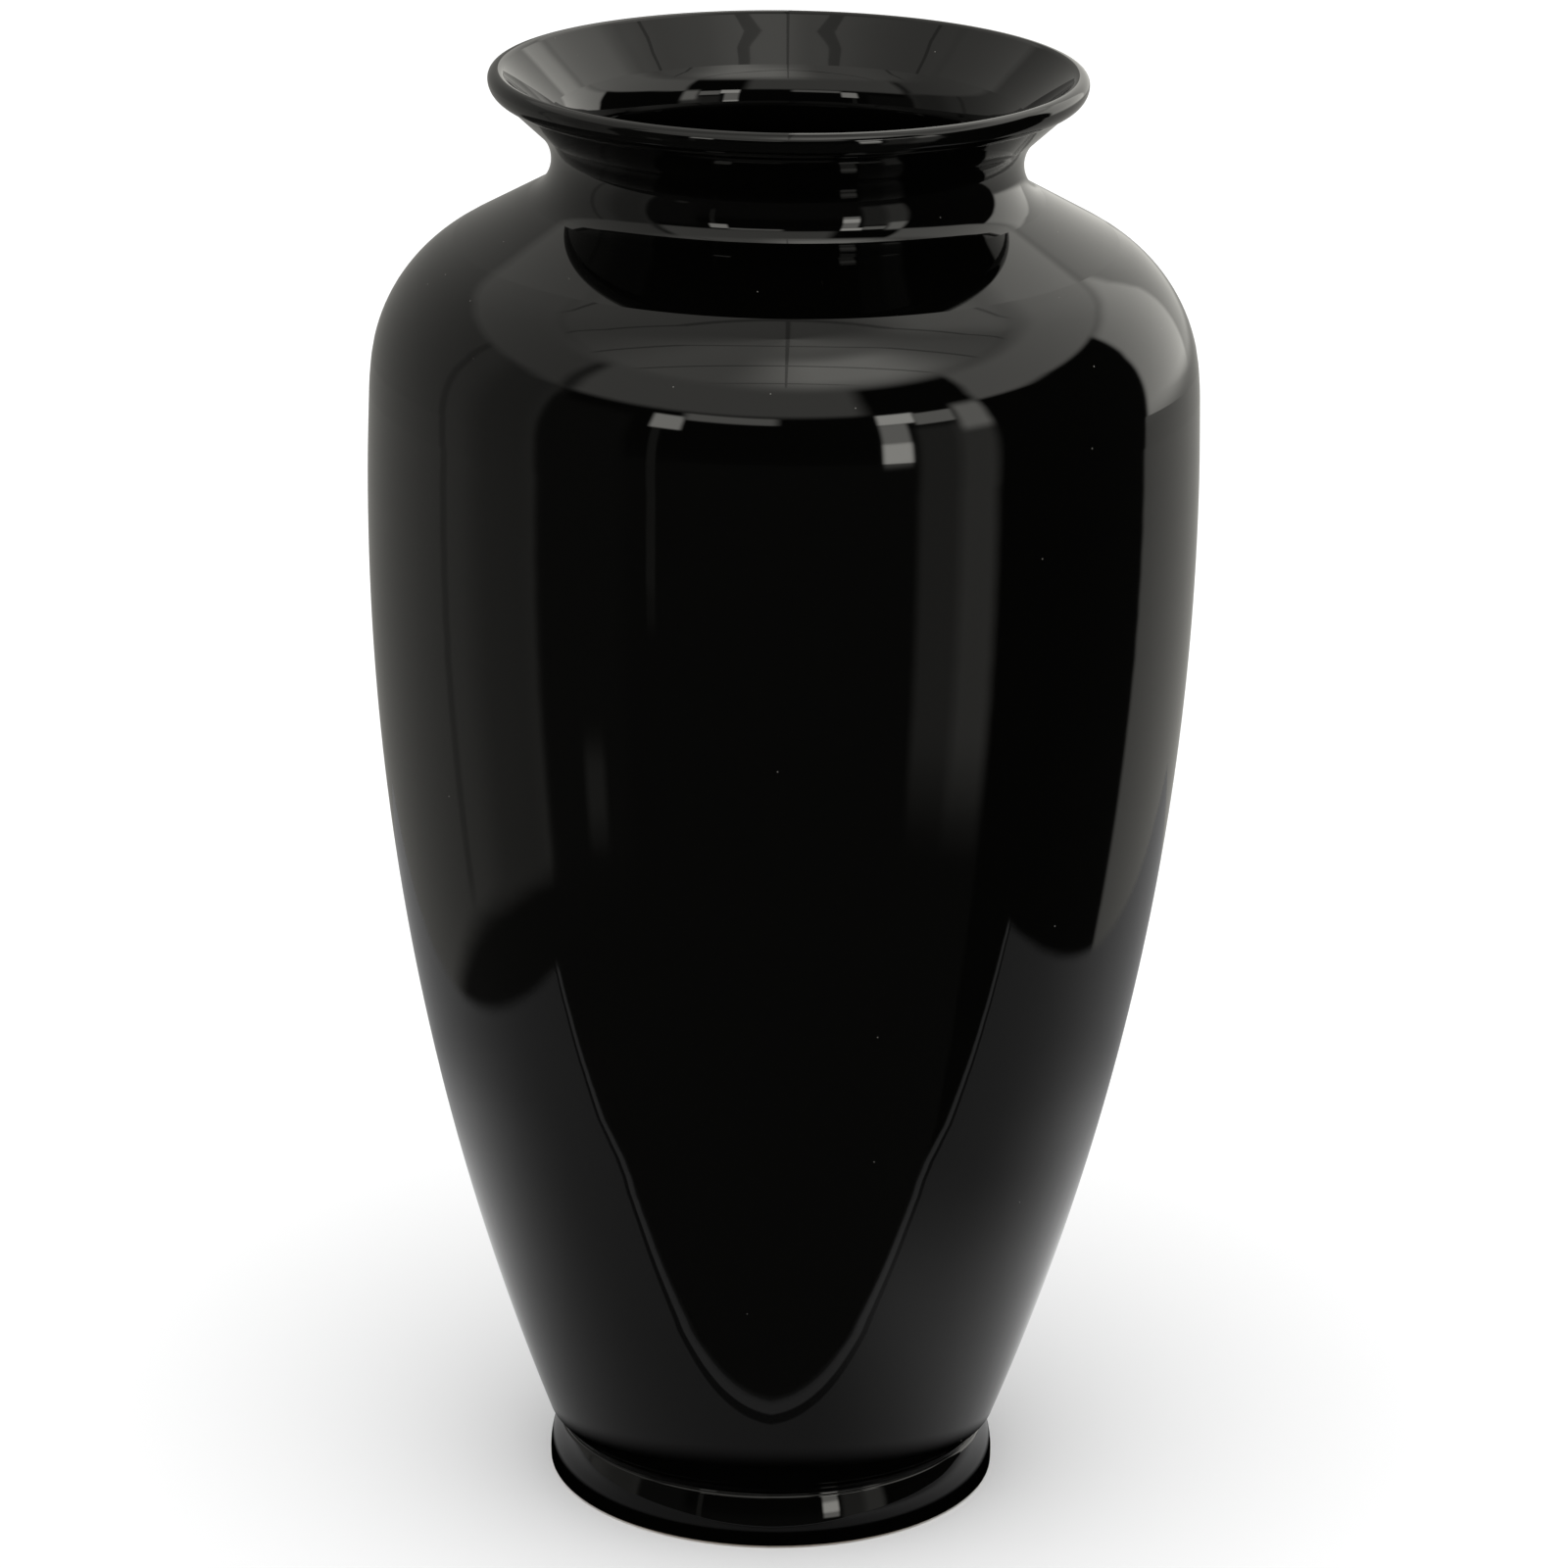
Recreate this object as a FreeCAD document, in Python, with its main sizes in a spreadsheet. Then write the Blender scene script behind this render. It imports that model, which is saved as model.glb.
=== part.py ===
import FreeCAD, Part
import math
import os
import Sketcher

# Tall glazed baluster jar, thrown in sections, luted with slip and glazed in three coats.
# Every piece is turned about the vertical axis. Units are millimetres. The origin is on the
# axis at the standing face, with +Z up.

document = FreeCAD.newDocument("BalusterJar")

# Driving sizes. A share is a fraction of a length or of the way between two, as its note says.
DRIVING_SIZES = (
    ("height", 450.0, "standing face to the crest of the lip"),
    ("belly_radius", 125.9, "widest radius, over the glaze"),
    ("neck_radius", 70.6, "narrowest radius of the neck, over the glaze"),
    ("lip_radius", 89.5, "outermost radius of the lip, over the glaze"),
    ("foot_radius", 70.3, "widest radius of the foot band, over the glaze"),
    ("foot_height", 17.0, "standing face to the top edge of the foot band"),
    ("wall", 4.8, "clay thickness of the thrown wall"),
    ("floor", 8.0, "clay thickness of the floor"),
    ("glaze", 0.4, "thickness of each coat of glaze"),
    ("slip", 0.8, "thickness of the fired slip in every joint"),
    ("belly_height_share", 0.7106, "height of the widest point, of the height"),
    ("taper_radius_share", 0.6632, "where the belly passes into the taper, from wall's edge to belly"),
    ("taper_height_share", 0.3235, "height of that point, of the height"),
    ("corner_height_share", 0.7853, "height where the belly starts to turn in, of the height"),
    ("shoulder_radius_share", 0.9738, "where the shoulder round starts, from neck to belly"),
    ("shoulder_height_share", 0.8058, "height of that point, of the height"),
    ("flank_radius_share", 0.5262, "where the shoulder runs straight, from neck to belly"),
    ("flank_height_share", 0.8868, "height of that point, of the height"),
    ("neck_round", 13.0, "radius of the hollow round of the neck"),
    ("lip_swell", 0.8, "how far the rolled lip stands out from the flare"),
    ("lip_hollow", 1.5, "radius of the small hollow under the lip"),
    ("foot_edge_inset", 0.4, "how far the foot band draws in from its widest radius to its top"),
    ("foot_edge_round", 1.2, "radius of the band's rounded top edge"),
    ("foot_bulge_share", 0.42, "height of the band's widest point, of the foot height"),
    ("toe_round", 1.2, "radius of the clay edge round the standing face"),
    ("groove_width", 5.1, "height of the groove over the foot band"),
    ("groove_depth", 3.2, "groove cut in the clay, in from the band's drawn-in top"),
    ("groove_hollow", 1.3, "glazed hollow of the groove, in from the line between its edges"),
    ("wall_overhang", 1.1, "wall's lower edge, out from the band's drawn-in top"),
    ("glaze_line", 0.9, "height where the outer glaze is wiped off the foot"),
    ("ring_width", 12.0, "clay width of the foot ring, from the groove in to the recess"),
    ("well_flare", 3.0, "how much wider the recess is at the standing face than at its top"),
    ("well_ease", 1.5, "radius of the standing face's inner edge"),
    ("well_hollow", 3.0, "radius of the glazed corner of the recess"),
    ("well_glaze_line", 3.0, "height where the glaze of the recess stops"),
    ("floor_hollow", 16.0, "radius between the floor and the wall inside"),
    ("tongue_width", 4.0, "width of the raised key on top of the foot ring"),
    ("tongue_height", 2.5, "height of that key"),
    ("lap", 6.0, "length of the lapped joints in the wall"),
    ("lower_seam_share", 0.355, "height of the lower lapped joint, of the height"),
    ("upper_seam_share", 0.645, "height of the upper lapped joint, of the height"),
    ("neck_seam_share", 0.5, "start of the neck joint along the straight flank"),
    ("lip_lap", 3.5, "length of the lapped joint under the lip"),
    ("lip_seam_share", 0.3, "start of the lip joint along the straight flare"),
)

sizes = document.addObject("Spreadsheet::Sheet", "Sizes")
for row, (name, value, note) in enumerate(DRIVING_SIZES, start=1):
    sizes.set(f"A{row}", note)
    sizes.set(f"B{row}", str(value))
    sizes.setAlias(f"B{row}", name)

# The second sheet holds what follows from the driving sizes: the arcs' centres, the stations
# where they meet, and the corners of every section.
outline = document.addObject("Spreadsheet::Sheet", "Outline")
derived_names = []


def derive(name, formula):
    """Write a formula under a name in the second sheet, once, and return the name."""
    if name not in derived_names:
        derived_names.append(name)
        cell = f"A{len(derived_names)}"
        outline.set(cell, "=" + formula)
        outline.setAlias(cell, name)
    return name


def derive_arc(arc, radius, centre_r, centre_z):
    """Write an arc of the outer surface: its radius and its centre."""
    derive(f"{arc}_rad", radius)
    derive(f"{arc}_cr", centre_r)
    derive(f"{arc}_cz", centre_z)


def derive_station(station, across, lift):
    """Write a station's direction from its arc's centre, as a unit vector."""
    derive(f"{station}_across", across)
    derive(f"{station}_lift", lift)


def derive_station_at(station, arc, station_height):
    """Write a station on the outer side of an arc, at a height on the outer surface."""
    lift = f"({station_height} - {arc}_cz) / {arc}_rad"
    derive(f"{station}_lift", lift)
    derive(f"{station}_across", f"sqrt(1 - {station}_lift ^ 2)")


def derive_arc_through(arc, start, start_r, start_z, end, end_r, end_z):
    """Write the arc that leaves a station along the surface and passes through an end point."""
    run = f"({start_r} - {end_r})"
    rise = f"({start_z} - {end_z})"
    radius = (f"({run} ^ 2 + {rise} ^ 2)"
              f" / (2 * ({run} * {start}_across + {rise} * {start}_lift))")
    derive(f"{arc}_rad", radius)
    derive(f"{arc}_cr", f"{start_r} - {arc}_rad * {start}_across")
    derive(f"{arc}_cz", f"{start_z} - {arc}_rad * {start}_lift")
    derive_station(end, f"({end_r} - {arc}_cr) / {arc}_rad", f"({end_z} - {arc}_cz) / {arc}_rad")


# Layers of the wall, by their depth under the outer surface.
derive("full_wall", "Sizes.wall + 2 * Sizes.glaze")
LAYER_DEPTHS = {
    "skin": "0",
    "clay": "Sizes.glaze",
    "lap_out": "Sizes.glaze + (Sizes.wall - Sizes.slip) / 2",
    "lap_in": "Sizes.glaze + (Sizes.wall + Sizes.slip) / 2",
    "lining": "Sizes.glaze + Sizes.wall",
    "inside": "full_wall",
}
for layer_name, depth in LAYER_DEPTHS.items():
    derive(f"{layer_name}_depth", depth)

# Foot band: a shallow convex face, rounded over at its top edge and under at the toe.
derive("bulge_height", "Sizes.foot_height * Sizes.foot_bulge_share")
derive("band_rise", "Sizes.foot_height - bulge_height")
derive_arc("face", "(Sizes.foot_edge_inset ^ 2 + band_rise ^ 2) / (2 * Sizes.foot_edge_inset)",
           "Sizes.foot_radius - face_rad", "bulge_height")
derive("edge_rad", "Sizes.foot_edge_round")
derive("edge_cz", "Sizes.foot_height - Sizes.foot_edge_round")
derive("edge_start_lift", "(edge_cz - face_cz) / (face_rad - edge_rad)")
derive("edge_start_across", "sqrt(1 - edge_start_lift ^ 2)")
derive("edge_cr", "face_cr + (face_rad - edge_rad) * edge_start_across")
derive_station("foot_edge", "0", "1")
derive("toe_rad", "Sizes.toe_round + Sizes.glaze")
derive("toe_cz", "Sizes.toe_round")
derive("face_start_lift", "(toe_cz - face_cz) / (face_rad - toe_rad)")
derive("face_start_across", "sqrt(1 - face_start_lift ^ 2)")
derive("toe_cr", "face_cr + (face_rad - toe_rad) * face_start_across")
derive_station("toe_bottom", "0", "-1")
derive_station_at("glaze_line", "toe", "Sizes.glaze_line")

# Belly and taper: the long arc stands upright at the belly and passes through the taper point,
# and the next one runs on from it down to the wall's lower edge.
derive("wall_start_r", "Sizes.foot_radius - Sizes.foot_edge_inset + Sizes.wall_overhang")
derive("wall_start_z", "Sizes.foot_height + Sizes.groove_width")
derive("groove_chord", "sqrt((wall_start_r - edge_cr) ^ 2 + Sizes.groove_width ^ 2)")
derive("groove_rad", "(groove_chord ^ 2 / 4 + Sizes.groove_hollow ^ 2) / (2 * Sizes.groove_hollow)")
derive("belly_cz", "Sizes.height * Sizes.belly_height_share")
derive("taper_radius", "wall_start_r + (Sizes.belly_radius - wall_start_r) * Sizes.taper_radius_share")
derive("taper_height", "Sizes.height * Sizes.taper_height_share")
derive("taper_draw", "Sizes.belly_radius - taper_radius")
derive("belly_rad", "(taper_draw ^ 2 + (belly_cz - taper_height) ^ 2) / (2 * taper_draw)")
derive("belly_cr", "Sizes.belly_radius - belly_rad")
derive_station_at("taper", "belly", "taper_height")
derive_arc_through("lower", "taper", "taper_radius", "taper_height",
                   "wall_start", "wall_start_r", "wall_start_z")

# Shoulder: a short corner arc, then the tighter round, each through its own point.
derive_station_at("corner_start", "belly", "Sizes.height * Sizes.corner_height_share")
derive("corner_start_r", "belly_cr + belly_rad * corner_start_across")
derive("corner_start_z", "belly_cz + belly_rad * corner_start_lift")
derive("neck_to_belly", "Sizes.belly_radius - Sizes.neck_radius")
derive("shoulder_start_r", "Sizes.neck_radius + neck_to_belly * Sizes.shoulder_radius_share")
derive("shoulder_start_z", "Sizes.height * Sizes.shoulder_height_share")
derive_arc_through("corner", "corner_start", "corner_start_r", "corner_start_z",
                   "shoulder_start", "shoulder_start_r", "shoulder_start_z")
derive("flank_start_r", "Sizes.neck_radius + neck_to_belly * Sizes.flank_radius_share")
derive("flank_start_z", "Sizes.height * Sizes.flank_height_share")
derive_arc_through("shoulder", "shoulder_start", "shoulder_start_r", "shoulder_start_z",
                   "flank_start", "flank_start_r", "flank_start_z")

# Neck: one hollow round, tangent to the straight flank below it and upright at its waist.
derive("neck_rad", "Sizes.neck_round")
derive("neck_cr", "Sizes.neck_radius + Sizes.neck_round")
derive("flank_offset", "flank_start_r * flank_start_across + flank_start_z * flank_start_lift")
derive("neck_cz", "(flank_offset + neck_rad - flank_start_across * neck_cr) / flank_start_lift")
derive_station("neck_start", "-flank_start_across", "-flank_start_lift")

# Mouth: the flare runs straight from the neck's round. Its middle meets the middle of the lip's
# crest, which is round from face to face.
derive("lip_round", "full_wall / 2")
derive("lip_cr", "Sizes.lip_radius - lip_round")
derive("lip_cz", "Sizes.height - lip_round")
derive("flare_reach", "sqrt((lip_cr - neck_cr) ^ 2 + (lip_cz - neck_cz) ^ 2)")
derive("flare_angle", "acos(-(neck_rad + lip_round) / flare_reach)"
                      " - atan2(lip_cz - neck_cz; lip_cr - neck_cr)")
derive("flare_cos", "cos(flare_angle)")
derive("flare_sin", "sin(flare_angle)")
derive_station("flare_start", "-flare_cos", "flare_sin")

# Rolled lip: its outer face stands proud of the flare, over a small hollow.
derive_arc("lip_face", "lip_round + Sizes.lip_swell / (1 - flare_cos)",
           "Sizes.lip_radius - lip_face_rad", "lip_cz")
derive("lip_face_depth", "lip_face_rad - Sizes.lip_swell")
derive("hollow_side", "lip_face_depth + Sizes.lip_hollow")
derive("hollow_drop", "sqrt((lip_face_rad + Sizes.lip_hollow) ^ 2 - hollow_side ^ 2)")
derive_arc("under_lip", "Sizes.lip_hollow",
           "lip_face_cr + hollow_side * flare_cos - hollow_drop * flare_sin",
           "lip_face_cz - hollow_side * flare_sin - hollow_drop * flare_cos")
derive_station("lip_foot", "-flare_cos", "flare_sin")
derive_station("lip_face_start",
               "(under_lip_cr - lip_face_cr) / (lip_face_rad + under_lip_rad)",
               "(under_lip_cz - lip_face_cz) / (lip_face_rad + under_lip_rad)")
derive_arc("lip_crest", "lip_round", "lip_cr", "lip_cz")
derive_station("lip_crest_start", "1", "0")
derive_station("lip_inner", "-flare_cos", "flare_sin")

# Foot joint and floor. The ring's top and the body's base lie half a slip from the groove's middle.
derive("ring_top", "Sizes.foot_height + (Sizes.groove_width - Sizes.slip) / 2")
derive("body_base", "ring_top + Sizes.slip")
derive("groove_seat", "Sizes.foot_radius - Sizes.foot_edge_inset - Sizes.groove_depth")
derive("well_top_r", "groove_seat - Sizes.ring_width")
derive("tongue_middle", "(well_top_r + groove_seat) / 2")
derive("tongue_outer", "tongue_middle + Sizes.tongue_width / 2")
derive("tongue_inner", "tongue_middle - Sizes.tongue_width / 2")
derive("tongue_top", "ring_top + Sizes.tongue_height")
derive("key_outer", "tongue_outer + Sizes.slip")
derive("key_inner", "tongue_inner - Sizes.slip")
derive("key_top", "tongue_top + Sizes.slip")

# The hollow between floor and wall rolls on the inner surface of the taper.
derive("cove_rad", "Sizes.floor_hollow + full_wall")
derive("cove_cz", "body_base + Sizes.floor + Sizes.glaze + Sizes.floor_hollow")
derive("cove_start_lift", "(cove_cz - lower_cz) / (lower_rad - cove_rad)")
derive("cove_start_across", "sqrt(1 - cove_start_lift ^ 2)")
derive("cove_cr", "lower_cr + (lower_rad - cove_rad) * cove_start_across")
derive_station("cove_end", "0", "-1")

# Recess under the floor.
derive("well_slope", "Sizes.well_flare / ring_top")
derive("well_ease_r", "well_top_r + well_slope * (ring_top - Sizes.well_ease)")
derive("standing_inner_r", "well_ease_r + Sizes.well_ease")
derive("well_line_r", "well_top_r + well_slope * (ring_top - Sizes.well_glaze_line)")
derive("well_line_inner_r", "well_line_r - Sizes.glaze")
derive("well_inner_r", "well_top_r - Sizes.glaze")
derive("well_ceiling", "body_base - Sizes.glaze")
derive("well_hollow_z", "well_ceiling - Sizes.well_hollow")
derive("well_hollow_r", "well_inner_r - Sizes.well_hollow")

# The four stations of each lapped joint, by the laps and slips that they lie above its foot:
# the outer half of the wall is cut at the first two, the inner half at the last two.
LAP_STEPS = {"cut": (0, 0), "cut_top": (0, 1), "rise": (1, 0), "rise_top": (1, 1)}
for seam in ("lower_seam", "upper_seam"):
    for step, (laps, slips) in LAP_STEPS.items():
        above = f"{laps} * Sizes.lap + {slips} * Sizes.slip"
        derive_station_at(f"{seam}_{step}", "belly",
                          f"(Sizes.height * Sizes.{seam}_share + {above})")

# Stations on a straight stretch are shares of the way between its two ends.
STRAIGHT_STATIONS = {}


def corner_of(station, layer):
    """Name the radius and height of a station on one layer, writing their formulas once."""
    if station in STRAIGHT_STATIONS:
        start, end = STRAIGHT_STATIONS[station]
        start_r, start_z = corner_of(start, layer)
        end_r, end_z = corner_of(end, layer)
        way = f"{station}_way"
        return (derive(f"{station}_{layer}_r", f"{start_r} + {way} * ({end_r} - {start_r})"),
                derive(f"{station}_{layer}_z", f"{start_z} + {way} * ({end_z} - {start_z})"))
    arc = STATION_ARCS[station]
    radius = layer_radius(arc, layer)
    return (derive(f"{station}_{layer}_r", f"{arc}_cr + {radius} * {station}_across"),
            derive(f"{station}_{layer}_z", f"{arc}_cz + {radius} * {station}_lift"))


def layer_radius(arc, layer):
    """Name an arc's radius on one layer: a swelling arc shrinks inward, a hollow one grows."""
    sign = "+" if arc in HOLLOW_ARCS else "-"
    return derive(f"{arc}_{layer}_rad", f"{arc}_rad {sign} {layer}_depth")


HOLLOW_ARCS = ("groove", "neck", "under_lip")

# The arc that each station lies on, and the arc that leaves it upward (None is a straight line).
STATION_ARCS = {
    "toe_bottom": "toe", "glaze_line": "toe", "face_start": "face", "edge_start": "edge",
    "foot_edge": "edge",
    "wall_start": "lower", "cove_end": "cove", "cove_start": "lower", "taper": "belly",
    "corner_start": "belly", "shoulder_start": "corner", "flank_start": "shoulder",
    "neck_start": "neck", "flare_start": "neck", "lip_foot": "under_lip",
    "lip_face_start": "lip_face", "lip_crest_start": "lip_crest", "lip_inner": "lip_crest",
}
ARCS_ABOVE = {
    "toe_bottom": "toe", "glaze_line": "toe", "face_start": "face", "edge_start": "edge",
    "foot_edge": "groove",
    "wall_start": "lower", "cove_end": "cove", "cove_start": "lower", "taper": "belly",
    "corner_start": "corner", "shoulder_start": "shoulder", "flank_start": None,
    "neck_start": "neck", "flare_start": None, "lip_foot": "under_lip",
    "lip_face_start": "lip_face", "lip_crest_start": "lip_crest", "lip_inner": None,
}
for seam in ("lower_seam", "upper_seam"):
    for step in LAP_STEPS:
        STATION_ARCS[f"{seam}_{step}"] = "belly"
        ARCS_ABOVE[f"{seam}_{step}"] = "belly"

for seam, start, end, lap in (("neck_seam", "flank_start", "neck_start", "Sizes.lap"),
                              ("lip_seam", "flare_start", "lip_foot", "Sizes.lip_lap")):
    start_r, start_z = corner_of(start, "skin")
    end_r, end_z = corner_of(end, "skin")
    length = derive(f"{seam}_stretch", f"sqrt(({end_r} - {start_r}) ^ 2 + ({end_z} - {start_z}) ^ 2)")
    for step, (laps, slips) in LAP_STEPS.items():
        station = f"{seam}_{step}"
        derive(f"{station}_way",
               f"Sizes.{seam}_share + ({laps} * {lap} + {slips} * Sizes.slip) / {length}")
        STRAIGHT_STATIONS[station] = (start, end)
        ARCS_ABOVE[station] = None


def up(layer, *stations):
    """List the corners of a layer from station to station upward, with the edge that leaves each."""
    corners = []
    for station, following in zip(stations, stations[1:] + (None,)):
        arc = ARCS_ABOVE[station] if following else None
        corners.append(corner_of(station, layer) + (bend_of(arc, layer, True),))
    return corners


def down(layer, *stations):
    """List the corners of a layer from station to station downward."""
    corners = []
    for station, following in zip(stations, stations[1:] + (None,)):
        arc = ARCS_ABOVE[following] if following else None
        corners.append(corner_of(station, layer) + (bend_of(arc, layer, False),))
    return corners


def bend_of(arc, layer, upward):
    """Name an edge's radius and say if it turns left, or return None for a straight edge."""
    if arc is None:
        return None
    return layer_radius(arc, layer), upward != (arc in HOLLOW_ARCS)


def point(radius_name, height_name, bend=None):
    """Give a corner by the names of its radius and height; None is a place on an axis."""
    return [(radius_name, height_name, bend)]


def lapped_top(seam):
    """Top end of a section: the outer half is cut low and the inner half rises as a spigot."""
    return up("lap_in", f"{seam}_cut", f"{seam}_rise")


def lapped_base(seam):
    """Lower end of a section: the outer half reaches down as a skirt over the spigot."""
    return down("lap_out", f"{seam}_rise_top", f"{seam}_cut_top")


def lapped_slip(seam):
    """Fired slip that fills a lapped joint, one thickness all along."""
    return (lapped_top(seam) + up("lining", f"{seam}_rise", f"{seam}_rise_top")
            + lapped_base(seam) + down("clay", f"{seam}_cut_top", f"{seam}_cut"))


FLOOR_TOP = corner_of("cove_end", "lining")[1]
LINER_TOP = corner_of("cove_end", "inside")[1]
TOE_TO_EDGE = ("face_start", "edge_start", "foot_edge")
WALL_TO_NECK = ("corner_start", "shoulder_start", "flank_start")
LIP = ("lip_foot", "lip_face_start", "lip_crest_start", "lip_inner")

# The key of the foot joint, from the axis side outward: raised on the ring, sunk in the base.
TONGUE = (point("tongue_outer", "ring_top") + point("tongue_outer", "tongue_top")
          + point("tongue_inner", "tongue_top") + point("tongue_inner", "ring_top"))
KEYWAY = (point("key_inner", "body_base") + point("key_inner", "key_top")
          + point("key_outer", "key_top") + point("key_outer", "body_base"))

SECTIONS = {
    "foot_ring":
        up("clay", "toe_bottom", *TOE_TO_EDGE)
        + point("groove_seat", "ring_top") + TONGUE
        + point("well_top_r", "ring_top")
        + point("well_ease_r", "Sizes.well_ease", ("Sizes.well_ease", True))
        + point("standing_inner_r", None),
    "foot_slip":
        point("groove_seat", "ring_top") + point("groove_seat", "body_base")
        + KEYWAY[::-1]
        + point("well_top_r", "body_base") + point("well_top_r", "ring_top")
        + TONGUE[::-1],
    "lower_body":
        point("groove_seat", "body_base")
        + up("clay", "wall_start", "taper", "lower_seam_cut")
        + lapped_top("lower_seam")
        + down("lining", "lower_seam_rise", "taper", "cove_start", "cove_end")
        + point(None, FLOOR_TOP) + point(None, "body_base") + KEYWAY,
    "lower_slip": lapped_slip("lower_seam"),
    "belly_section":
        up("clay", "lower_seam_cut_top", "upper_seam_cut")
        + lapped_top("upper_seam")
        + down("lining", "upper_seam_rise", "lower_seam_rise_top")
        + lapped_base("lower_seam"),
    "upper_slip": lapped_slip("upper_seam"),
    "shoulder_section":
        up("clay", "upper_seam_cut_top", *WALL_TO_NECK, "neck_seam_cut")
        + lapped_top("neck_seam")
        + down("lining", "neck_seam_rise", *WALL_TO_NECK[::-1], "upper_seam_rise_top")
        + lapped_base("upper_seam"),
    "neck_slip": lapped_slip("neck_seam"),
    "neck_collar":
        up("clay", "neck_seam_cut_top", "neck_start", "flare_start", "lip_seam_cut")
        + lapped_top("lip_seam")
        + down("lining", "lip_seam_rise", "flare_start", "neck_start", "neck_seam_rise_top")
        + lapped_base("neck_seam"),
    "lip_slip": lapped_slip("lip_seam"),
    "lip_coil":
        up("clay", "lip_seam_cut_top", *LIP)
        + down("lining", "lip_seam_rise_top")
        + lapped_base("lip_seam"),
    "outer_glaze":
        up("skin", "glaze_line", *TOE_TO_EDGE, "wall_start", "taper", *WALL_TO_NECK,
           "neck_start", "flare_start", *LIP)
        + down("clay", *LIP[::-1], "flare_start", "neck_start", *WALL_TO_NECK[::-1],
               "taper", "wall_start")
        + point("groove_seat", "body_base") + point("groove_seat", "ring_top")
        + down("clay", *TOE_TO_EDGE[::-1], "glaze_line"),
    "liner_glaze":
        point(None, FLOOR_TOP)
        + up("lining", "cove_end", "cove_start", "taper", *WALL_TO_NECK, "neck_start", "flare_start")
        + up("clay", "lip_inner") + up("skin", "lip_inner")
        + down("inside", "flare_start", "neck_start", *WALL_TO_NECK[::-1], "taper",
               "cove_start", "cove_end")
        + point(None, LINER_TOP),
    "foot_well_glaze":
        point(None, "well_ceiling")
        + point("well_hollow_r", "well_ceiling", ("Sizes.well_hollow", False))
        + point("well_inner_r", "well_hollow_z")
        + point("well_line_inner_r", "Sizes.well_glaze_line")
        + point("well_line_r", "Sizes.well_glaze_line")
        + point("well_top_r", "ring_top") + point("well_top_r", "body_base")
        + point(None, "body_base"),
}

document.recompute()


def full_name(name):
    """Give a value's full name for an expression."""
    return name if name.startswith("Sizes.") else f"Outline.{name}"


def number(name):
    """Read a value from the sheets; a place on an axis is zero."""
    if name is None:
        return 0.0
    if name.startswith("Sizes."):
        return float(sizes.get(name.split(".")[1]))
    return float(outline.get(name))


def edge_between(start, end):
    """Make the straight or round edge between two corners and say which end of it comes first."""
    first = FreeCAD.Vector(number(start[0]), number(start[1]), 0)
    last = FreeCAD.Vector(number(end[0]), number(end[1]), 0)
    if start[2] is None:
        return Part.LineSegment(first, last), 1
    radius_name, turns_left = start[2]
    if not turns_left:
        first, last = last, first
    radius = number(radius_name)
    chord = last - first
    to_centre = math.sqrt(radius ** 2 - (chord.Length / 2) ** 2)
    square = FreeCAD.Vector(-chord.y, chord.x, 0).normalize()
    centre = (first + last) / 2 + square * to_centre
    spokes = [spoke - centre for spoke in (first, last)]
    angles = [math.atan2(spoke.y, spoke.x) for spoke in spokes]
    if angles[1] < angles[0]:
        angles[1] += 2 * math.pi
    circle = Part.Circle(centre, FreeCAD.Vector(0, 0, 1), radius)
    return Part.ArcOfCircle(circle, *angles), 1 if turns_left else 2


def draw_section(sketch, corners):
    """Draw a closed section and tie each corner and each radius to the sheets."""
    # In a sketch, -1 is the level axis, whose first point is the origin, and -2 the upright axis.
    heads = []
    for start, end in zip(corners, corners[1:] + corners[:1]):
        edge, head = edge_between(start, end)
        heads.append((sketch.addGeometry(edge, False), head))
    ties = []
    for (edge, head), (previous, previous_head) in zip(heads, heads[-1:] + heads[:-1]):
        sketch.addConstraint(Sketcher.Constraint("Coincident", previous, 3 - previous_head, edge, head))
    for (edge, head), (radius_name, height_name, bend) in zip(heads, corners):
        for kind, name, axis in (("DistanceX", radius_name, -2), ("DistanceY", height_name, -1)):
            if name is None:
                sketch.addConstraint(Sketcher.Constraint("PointOnObject", edge, head, axis))
            else:
                tie = Sketcher.Constraint(kind, -1, 1, edge, head, number(name))
                ties.append((sketch.addConstraint(tie), name))
        if bend:
            tie = Sketcher.Constraint("Radius", edge, number(bend[0]))
            ties.append((sketch.addConstraint(tie), bend[0]))
    for index, name in ties:
        sketch.setExpression(f"Constraints[{index}]", full_name(name))


def turn_piece(label, corners):
    """Make one piece: its section in the upright plane, turned about the jar's axis."""
    body = document.addObject("PartDesign::Body", label)
    body.Label = label
    sketch = body.newObject("Sketcher::SketchObject", f"{label}_section")
    planes = {plane.Role: plane for plane in body.Origin.OriginFeatures}
    sketch.AttachmentSupport = (planes["XZ_Plane"], [""])
    sketch.MapMode = "FlatFace"
    draw_section(sketch, corners)
    turning = body.newObject("PartDesign::Revolution", f"{label}_turning")
    turning.Profile = sketch
    turning.ReferenceAxis = (sketch, ["V_Axis"])
    turning.Angle = 360.0
    body.Tip = turning
    body.Placement = FreeCAD.Placement()
    return body


pieces = [turn_piece(label, corners) for label, corners in SECTIONS.items()]
document.recompute()

for item in document.Objects:
    if "Invalid" in item.State or "Error" in item.State:
        raise RuntimeError(f"{item.Label} did not build: {item.State}")
for piece in pieces:
    if piece.Shape.isNull() or not piece.Shape.isValid() or len(piece.Shape.Solids) != 1:
        raise RuntimeError(f"{piece.Label} is not one valid solid")

os.makedirs("parts", exist_ok=True)
for piece in pieces:
    piece.Shape.exportStep(f"parts/{piece.Label}.step")
    print(f"{piece.Label}: {piece.Shape.Volume / 1000:.1f} cm3")
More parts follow.
